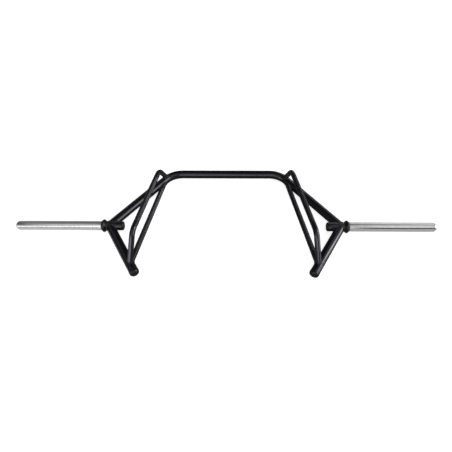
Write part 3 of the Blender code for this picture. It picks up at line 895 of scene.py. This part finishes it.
# Strip lights in front and a dark flag between them, by the turn round the sleeve axis and by azimuth,
# with the width of their soft edges along the turn and their brightness, or the share that the flag takes
STRIP_LIGHTS = (((24.5, 31.5), (-50, -14), 1.2, 3.4),
                ((21.5, 28.5), (-14, 7), 1.2, 4.8),
                ((25.5, 31.0), (47, 72), 1.2, 3.2))
DARK_FLAG = ((10.0, 33.0), (14, 45), 2.0, 0.93)
STRIP_END_SOFT = 4

# The light over the floor, and the cards that the sleeves mirror: name, place, target, width, height
# and power
OVERHEAD = ("overhead", (0, 0.2, 3.2), (0, 0, 0), 4.5, 3.5, 20)
SLEEVE_CARDS = (
    ("card_behind_right_sleeve", (1.12, 0.75, 0.34), (0.88, 0, 0.05), 1.45, 0.66, 2.8),
    ("card_over_right_sleeve", (1.20, 0.00, 0.84), (1.20, 0.00, 0), 1.15, 1.00, 0.97),
    ("card_behind_left_sleeve", (-1.18, 0.75, 0.32), (-0.88, 0, 0.05), 1.45, 0.62, 0.8),
    ("card_over_left_sleeve", (-1.28, -0.20, 0.84), (-1.28, -0.20, 0), 0.95, 1.4, 1.05),
)

# The floor glows a little, so that it looks as white as paper. Gloss mirrors a painted reflection of it,
# a dim grey:
# painted shade, darkest under the frame, with painted lighter patches in front of the sleeves, to the
# left and right of it
FLOOR_PATCHES = 0.985
FLOOR_GLOW = 0.80
PAINTED_FLOOR_REFLECTION = 0.10
PAINTED_REFLECTION_LEFT = 0.38
PAINTED_REFLECTION_RIGHT = 0.25
SLEEVES_FROM = 0.62
SLEEVES_PAST = 0.68
SLEEVES_FRONT = 0.06


def soft_window(tree, value, ends, soft):
    """A mask that is 1 between two angles, with soft edges."""
    low, high = ends
    rise = remapped(tree, value, radians(low - soft), radians(low + soft), kind="SMOOTHSTEP")
    fall = remapped(tree, value, radians(high + soft), radians(high - soft), kind="SMOOTHSTEP")
    return maths(tree, "MULTIPLY", rise, fall)


def make_studio_world():
    """A dim room with soft panels, which the paint and the chrome mirror."""
    world = bpy.data.worlds.new("studio")
    world.use_nodes = True
    bpy.context.scene.world = world
    tree = world.node_tree
    coordinates = tree.nodes.new("ShaderNodeTexCoord")
    parts = add_node(tree, "ShaderNodeSeparateXYZ",
                     {"Vector": coordinates.outputs["Generated"]}).outputs
    front = maths(tree, "MULTIPLY", parts["Y"], -1.0)
    azimuth = maths(tree, "ARCTAN2", parts["X"], front)
    height = maths(tree, "ARCSINE", parts["Z"])
    turn = maths(tree, "ARCTAN2", parts["Z"], front)
    total = DIM_ROOM
    for azimuths, heights, soft, brightness in STUDIO_PANELS:
        panel = maths(tree, "MULTIPLY", soft_window(tree, azimuth, azimuths, soft),
                      soft_window(tree, height, heights, soft))
        total = maths(tree, "MULTIPLY_ADD", panel, brightness, total)
    for turns, azimuths, soft, brightness in STRIP_LIGHTS:
        strip = maths(tree, "MULTIPLY", soft_window(tree, turn, turns, soft),
                      soft_window(tree, azimuth, azimuths, STRIP_END_SOFT))
        total = maths(tree, "MULTIPLY_ADD", strip, brightness, total)
    turns, azimuths, soft, depth = DARK_FLAG
    flag = maths(tree, "MULTIPLY", soft_window(tree, turn, turns, soft),
                 soft_window(tree, azimuth, azimuths, STRIP_END_SOFT))
    shade = maths(tree, "MULTIPLY_ADD", flag, -depth, 1.0)
    lit = maths(tree, "MULTIPLY", total, shade)
    # Seen straight on, the room is a plain pale backdrop
    plain = tree.nodes.new("ShaderNodeLightPath").outputs["Is Camera Ray"]
    rest = maths(tree, "MULTIPLY", lit, maths(tree, "SUBTRACT", 1.0, plain))
    strength = maths(tree, "MULTIPLY_ADD", plain, BACKDROP, rest)
    fill(tree, tree.nodes["Background"], {"Color": (1, 1, 1), "Strength": strength})


def make_soft_box(name, place, target, width, height, power, mirrored):
    """A soft box that either lights the floor or is only mirrored by gloss."""
    light = bpy.data.lights.new(name, "AREA")
    light.shape = "RECTANGLE"
    light.size = width
    light.size_y = height
    light.energy = power
    box = new_object(name, light)
    box.location = place
    box.rotation_euler = (Vector(target) - Vector(place)).to_track_quat("-Z", "Y").to_euler()
    box.visible_camera = False
    box.visible_glossy = mirrored
    box.visible_diffuse = not mirrored


def make_floor():
    """A pale floor that glows a little, and whose reflection in gloss is painted dimmer than it is:
    painted shade, paler in front of the sleeves.
    """
    side = settings().stage.floor_side
    bm = bmesh.new()
    bmesh.ops.create_grid(bm, x_segments=1, y_segments=1, size=side / 2)
    mesh = bpy.data.meshes.new("studio_floor")
    bm.to_mesh(mesh)
    bm.free()
    floor = new_object("studio_floor", mesh)
    tree, shader, place = new_material("floor")
    pale = settings().finish.floor
    shade = use_group(tree, "Soft Patches", place, Scale=1.5)["Value"]
    tone = mixed(tree, shade, pale, [part * FLOOR_PATCHES for part in pale])
    parts = add_node(tree, "ShaderNodeSeparateXYZ", {"Vector": place}).outputs
    # Painted reflection: gloss sees a painted grey in place of the floor, dark under the frame and paler
    # in front of the sleeves
    leftward = remapped(tree, parts["X"], -SLEEVES_FROM, -SLEEVES_PAST, 0.0, PAINTED_REFLECTION_LEFT)
    rightward = remapped(tree, parts["X"], SLEEVES_FROM, SLEEVES_PAST, 0.0, PAINTED_REFLECTION_RIGHT)
    before = remapped(tree, parts["Y"], SLEEVES_FRONT, 0.0)
    paler = maths(tree, "MULTIPLY", maths(tree, "ADD", leftward, rightward), before)
    grey = maths(tree, "ADD", paler, PAINTED_FLOOR_REFLECTION)
    seen = add_node(tree, "ShaderNodeCombineColor", {"Red": grey, "Green": grey, "Blue": grey})
    seen = seen.outputs["Color"]
    # Glossy rays get the painted reflection as colour and glow; all other rays get the pale floor
    path = tree.nodes.new("ShaderNodeLightPath").outputs["Is Glossy Ray"]
    fill(tree, shader, {"Base Color": mixed(tree, path, tone, seen), "Roughness": 0.9,
                        "Specular IOR Level": 0.1, "Emission Strength": FLOOR_GLOW,
                        "Emission Color": mixed(tree, path, (1, 1, 1), seen)})
    mesh.materials.append(MATERIALS["floor"])


def make_camera():
    """A camera at the photograph's angle, distance and framing."""
    stage = settings().stage
    data = bpy.data.cameras.new("camera")
    data.lens = stage.lens
    data.sensor_width = SENSOR_WIDTH
    data.clip_end = VIEW_END
    camera = new_object("camera", data)
    camera.matrix_world = (
        BAR_TO_MODEL @ Matrix.Translation((stage.target_x, stage.target_y, 0))
        @ Matrix.Rotation(-stage.yaw, 4, "Z") @ Matrix.Rotation(pi / 2 - stage.pitch, 4, "X")
        @ Matrix.Rotation(stage.roll, 4, "Z") @ Matrix.Translation((0, 0, stage.distance)))
    bpy.context.scene.camera = camera


def make_stage():
    """The camera, the floor, the room round them and the lights."""
    bpy.context.scene.view_settings.view_transform = "Standard"
    make_camera()
    make_floor()
    make_studio_world()
    make_soft_box(*OVERHEAD, mirrored=False)
    for card in SLEEVE_CARDS:
        make_soft_box(*card, mirrored=True)


# Operators

def both_sides(make):
    """Makes a piece on the left and on the right."""
    make_materials()
    for word, side in SIDES:
        make(word, side)


class MakeHubs(bpy.types.Operator):
    """Make the hubs that the frame's tubes are welded to"""

    bl_idname = "trap_bar.hubs"
    bl_label = "Hubs"

    def execute(self, context):
        both_sides(make_hub)
        return {"FINISHED"}


class MakeRearTube(bpy.types.Operator):
    """Make the bent tube from hub to hub"""

    bl_idname = "trap_bar.rear_tube"
    bl_label = "Rear Tube"

    def execute(self, context):
        make_materials()
        make_rear_tube()
        return {"FINISHED"}


class MakeFrontArms(bpy.types.Operator):
    """Make the two arms of the open front"""

    bl_idname = "trap_bar.front_arms"
    bl_label = "Front Arms"

    def execute(self, context):
        both_sides(make_front_arm)
        return {"FINISHED"}


class MakeLowHandles(bpy.types.Operator):
    """Make the knurled handles in the frame's plane"""

    bl_idname = "trap_bar.low_handles"
    bl_label = "Low Handles"

    def execute(self, context):
        both_sides(make_low_handle)
        return {"FINISHED"}


class MakeRaisedHandles(bpy.types.Operator):
    """Make the bent and knurled handles over the low ones"""

    bl_idname = "trap_bar.raised_handles"
    bl_label = "Raised Handles"

    def execute(self, context):
        both_sides(make_raised_handle)
        return {"FINISHED"}


class MakeWeldBeads(bpy.types.Operator):
    """Lay a bead along the seam of each welded tube end"""

    bl_idname = "trap_bar.weld_beads"
    bl_label = "Weld Beads"

    def execute(self, context):
        if not SEAMS:
            raise RuntimeError("make the tubes first")
        for name, seam in SEAMS.items():
            make_weld(f"{name}_weld", seam)
        return {"FINISHED"}


class MakeCaps(bpy.types.Operator):
    """Make the plastic caps of the hubs and arms"""

    bl_idname = "trap_bar.caps"
    bl_label = "Plastic Caps"

    def execute(self, context):
        both_sides(make_hub_cap)
        both_sides(make_arm_cap)
        return {"FINISHED"}


class MakeSleeves(bpy.types.Operator):
    """Make the chromed plate sleeves and their end plugs"""

    bl_idname = "trap_bar.sleeves"
    bl_label = "Plate Sleeves"

    def execute(self, context):
        both_sides(make_sleeve_tube)
        both_sides(make_end_plug)
        return {"FINISHED"}


class MakeCollars(bpy.types.Operator):
    """Make the black collars and the washers behind them"""

    bl_idname = "trap_bar.collars"
    bl_label = "Collars"

    def execute(self, context):
        both_sides(make_collar)
        both_sides(make_thrust_washer)
        return {"FINISHED"}


class FinishInnerPieces(bpy.types.Operator):
    """Give the spindles, bushes, washers and bolts inside the sleeves their finishes"""

    bl_idname = "trap_bar.inner_pieces"
    bl_label = "Inner Pieces"

    def execute(self, context):
        make_materials()
        finishes = {"spindle": "steel", "inner_bush": "bronze", "outer_bush": "bronze",
                    "end_washer": "zinc", "end_bolt": "zinc"}
        for word, _ in SIDES:
            for piece, finish in finishes.items():
                mesh = frame["nodes"][f"{word}_{piece}"].data
                mesh.materials.clear()
                mesh.materials.append(MATERIALS[finish])
        return {"FINISHED"}


class MakeStage(bpy.types.Operator):
    """Set up the floor, the camera and the studio light"""

    bl_idname = "trap_bar.stage"
    bl_label = "Stage"

    def execute(self, context):
        make_materials()
        make_stage()
        return {"FINISHED"}


STEPS = (MakeHubs, MakeRearTube, MakeFrontArms, MakeLowHandles, MakeRaisedHandles, MakeWeldBeads,
         MakeCaps, MakeSleeves, MakeCollars, FinishInnerPieces, MakeStage)


class TrapBarPanel(bpy.types.Panel):
    """The bar's sizes, finishes and pieces"""

    bl_idname = "VIEW3D_PT_trap_bar"
    bl_label = "Open Trap Bar"
    bl_space_type = "VIEW_3D"
    bl_region_type = "UI"
    bl_category = "Trap Bar"

    def draw(self, context):
        layout = self.layout
        for group in ("knurl", "weld", "edge", "finish", "stage"):
            box = layout.box()
            box.label(text=group.title())
            sizes = getattr(context.scene.trap_bar, group)
            for name in sizes.__annotations__:
                box.prop(sizes, name)
        for step in STEPS:
            layout.operator(step.bl_idname)


CLASSES = (KnurlSizes, WeldSizes, EdgeSizes, Finishes, StageSizes, TrapBarSettings, *STEPS,
           TrapBarPanel)


def register():
    for made in CLASSES:
        bpy.utils.register_class(made)
    bpy.types.Scene.trap_bar = PointerProperty(type=TrapBarSettings)


def unregister():
    del bpy.types.Scene.trap_bar
    for made in reversed(CLASSES):
        bpy.utils.unregister_class(made)


def main():
    register()
    for operator in (bpy.ops.trap_bar.hubs, bpy.ops.trap_bar.rear_tube, bpy.ops.trap_bar.front_arms,
                     bpy.ops.trap_bar.low_handles, bpy.ops.trap_bar.raised_handles,
                     bpy.ops.trap_bar.weld_beads, bpy.ops.trap_bar.caps, bpy.ops.trap_bar.sleeves,
                     bpy.ops.trap_bar.collars, bpy.ops.trap_bar.inner_pieces, bpy.ops.trap_bar.stage):
        operator()


if __name__ == "__main__":
    main()
